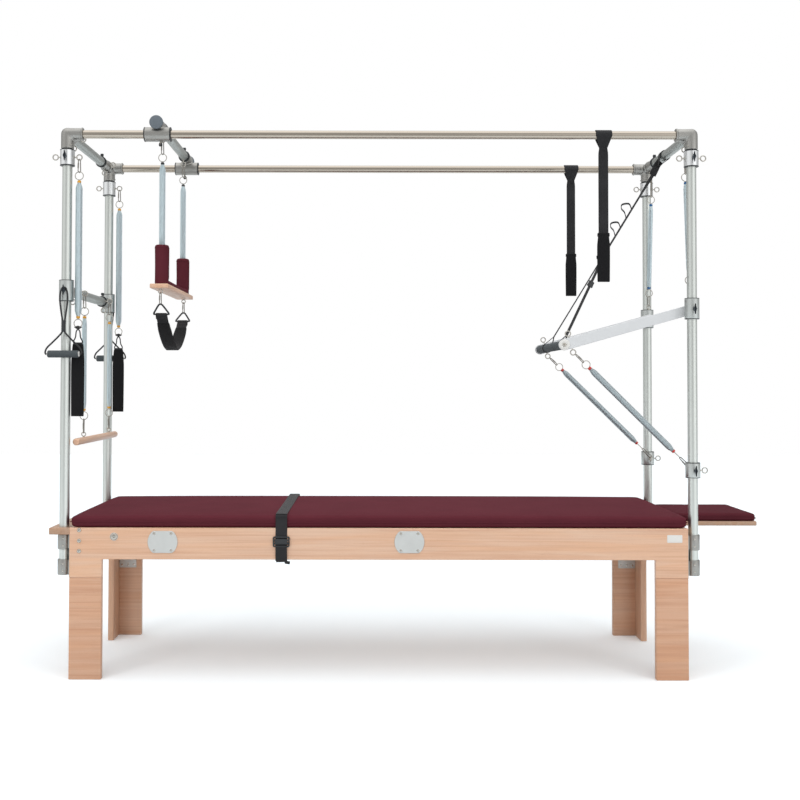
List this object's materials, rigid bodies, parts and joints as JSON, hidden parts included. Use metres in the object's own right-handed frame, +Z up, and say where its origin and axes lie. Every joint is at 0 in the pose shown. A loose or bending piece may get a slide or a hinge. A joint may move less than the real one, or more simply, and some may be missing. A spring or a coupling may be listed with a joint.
{
  "type": "pilates trapeze table",
  "caption": "Padded beech table under a tube frame with a sliding trapeze, push bar, roll-down bar, springs, handles and loops for pilates exercise.",
  "frame": {"origin": "on the floor under the middle of the whole object's box", "axes": "+X along the table towards the push bar and the extension, +Y to the back, +Z up"},
  "size_m": [2.8492, 0.7466, 2.196],
  "materials": {
    "beech_ply": "clear satin lacquer on beech",
    "burgundy_vinyl": "matt grained vinyl over foam",
    "black_webbing": "woven nylon webbing",
    "anodised_aluminium": "satin clear anodised",
    "grey_casting": "satin grey cast fitting",
    "stainless_tube": "polished stainless tube",
    "zinc_spring_wire": "bright zinc plated wire",
    "grey_foam": "matt closed-cell foam",
    "powder_coated_steel": "light grey powder coat"
  },
  "bodies": {
    "frame": {"front_rail": "beech_ply", "rear_rail": "beech_ply", "end_rail_left": "beech_ply", "end_rail_right": "beech_ply", "deck_panel": "beech_ply", "mat": "burgundy_vinyl", "extension_board": "beech_ply", "extension_pad": "burgundy_vinyl", "mat_belt": "black_webbing", "leg_front_left": "beech_ply", "post_socket_front_left": "grey_casting", "post_front_left": "anodised_aluminium", "corner_fitting_front_left": "grey_casting", "leg_front_right": "beech_ply", "post_socket_front_right": "grey_casting", "post_front_right": "anodised_aluminium", "corner_fitting_front_right": "grey_casting", "leg_rear_left": "beech_ply", "post_socket_rear_left": "grey_casting", "post_rear_left": "anodised_aluminium", "corner_fitting_rear_left": "grey_casting", "leg_rear_right": "beech_ply", "post_socket_rear_right": "grey_casting", "post_rear_right": "anodised_aluminium", "corner_fitting_rear_right": "grey_casting", "top_crossbar_left": "anodised_aluminium", "top_crossbar_right": "anodised_aluminium", "safety_strap": "black_webbing", "top_bar_front": "stainless_tube", "pivot_collar_front": "anodised_aluminium", "anchor_collar_front": "anodised_aluminium", "counter_spring_front": "zinc_spring_wire", "top_bar_rear": "stainless_tube", "pivot_collar_rear": "anodised_aluminium", "anchor_collar_rear": "anodised_aluminium", "counter_spring_rear": "zinc_spring_wire"},
    "crossbar_slider": {"slide_crossbar": "anodised_aluminium"},
    "handle_front_body": {"handle_front": "grey_foam"},
    "handle_rear_body": {"handle_rear": "grey_foam"},
    "roll_down": {"roll_down_spring_front": "zinc_spring_wire", "roll_down_spring_rear": "zinc_spring_wire", "roll_down_bar": "beech_ply"},
    "arm_spring_front_body": {"arm_spring_front": "zinc_spring_wire"},
    "arm_spring_rear_body": {"arm_spring_rear": "zinc_spring_wire"},
    "ankle_loop_front_body": {"ankle_loop_front": "black_webbing"},
    "ankle_loop_rear_body": {"ankle_loop_rear": "black_webbing"},
    "trapeze_carriage": {"carriage": "grey_casting"},
    "trapeze": {"trapeze_spring_front": "zinc_spring_wire", "trapeze_spring_rear": "zinc_spring_wire", "trapeze_board": "beech_ply", "trapeze_pad": "burgundy_vinyl"},
    "trapeze_sling": {"sling": "black_webbing"},
    "push_arm": {"push_bar": "powder_coated_steel", "push_grip": "grey_foam"},
    "push_springs": {"push_spring_front": "zinc_spring_wire", "push_spring_rear": "zinc_spring_wire"},
    "push_hooks": {"push_hook_front": "zinc_spring_wire", "push_hook_rear": "zinc_spring_wire"},
    "bar_loop_front_body": {"bar_loop_front": "black_webbing"},
    "bar_loop_rear_body": {"bar_loop_rear": "black_webbing"}
  },
  "joints": [
    {"name": "crossbar_height", "type": "slide", "parent": "frame", "child": "crossbar_slider", "axis": [0, 0, 1], "range_m": [-0.15, 0.4]},
    {"name": "handle_front_swing", "type": "hinge", "parent": "crossbar_slider", "child": "handle_front_body", "pos_m": [-1.3467, -0.35925, 1.509], "axis": [0, 1, 0], "range_deg": [-60, 60]},
    {"name": "handle_rear_swing", "type": "hinge", "parent": "crossbar_slider", "child": "handle_rear_body", "pos_m": [-1.3467, 0.35925, 1.509], "axis": [0, 1, 0], "range_deg": [-60, 60]},
    {"name": "roll_down_swing", "type": "hinge", "parent": "crossbar_slider", "child": "roll_down", "pos_m": [-1.3092, 0, 1.509], "axis": [0, -1, 0], "range_deg": [0, 55]},
    {"name": "arm_spring_front_swing", "type": "hinge", "parent": "frame", "child": "arm_spring_front_body", "pos_m": [-1.2997, -0.325, 2.0364], "axis": [0, -1, 0], "range_deg": [0, 70]},
    {"name": "arm_spring_rear_swing", "type": "hinge", "parent": "frame", "child": "arm_spring_rear_body", "pos_m": [-1.2997, 0.325, 2.0364], "axis": [0, -1, 0], "range_deg": [0, 70]},
    {"name": "ankle_loop_front_swing", "type": "hinge", "parent": "arm_spring_front_body", "child": "ankle_loop_front_body", "pos_m": [-1.2997, -0.325, 1.3644], "axis": [-1, 0, 0], "range_deg": [-15, 4]},
    {"name": "ankle_loop_rear_swing", "type": "hinge", "parent": "arm_spring_rear_body", "child": "ankle_loop_rear_body", "pos_m": [-1.2997, 0.325, 1.3644], "axis": [1, 0, 0], "range_deg": [-15, 4]},
    {"name": "carriage_slide", "type": "slide", "parent": "frame", "child": "trapeze_carriage", "axis": [1, 0, 0], "range_m": [-0.18, 1.2]},
    {"name": "trapeze_swing", "type": "hinge", "parent": "trapeze_carriage", "child": "trapeze", "pos_m": [-0.9907, 0, 2.1295], "axis": [0, 1, 0], "range_deg": [-45, 20]},
    {"name": "sling_swing", "type": "hinge", "parent": "trapeze", "child": "trapeze_sling", "pos_m": [-0.9907, 0, 1.513], "axis": [0, -1, 0], "range_deg": [-30, 30]},
    {"name": "push_bar_swing", "type": "hinge", "parent": "frame", "child": "push_arm", "pos_m": [1.1153, 0, 1.44], "axis": [0, 1, 0], "range_deg": [0, 40], "deforming": ["safety_strap"]},
    {"name": "push_spring_turn", "type": "hinge", "parent": "frame", "child": "push_springs", "pos_m": [1.1153, 0, 0.8185], "axis": [0, 1, 0], "range_deg": [0, 15.67]},
    {"name": "push_spring_stretch", "type": "slide", "parent": "push_springs", "child": "push_hooks", "axis": [-0.7121, 0, 0.7021], "range_m": [0, 0.2689], "deforming": ["push_spring_front", "push_spring_rear"]},
    {"name": "bar_loop_front_swing", "type": "hinge", "parent": "frame", "child": "bar_loop_front_body", "pos_m": [0.7683, -0.325, 2.128], "axis": [-1, 0, 0], "range_deg": [-15, 60]},
    {"name": "bar_loop_rear_swing", "type": "hinge", "parent": "frame", "child": "bar_loop_rear_body", "pos_m": [0.7683, 0.325, 2.128], "axis": [1, 0, 0], "range_deg": [-15, 60]}
  ],
  "couplings": [
    {"joint": "push_spring_turn", "follows": "push_bar_swing", "ratio": 0.37934},
    {"joint": "push_spring_stretch", "follows": "push_bar_swing", "m_per_rad": 0.38232}
  ]
}
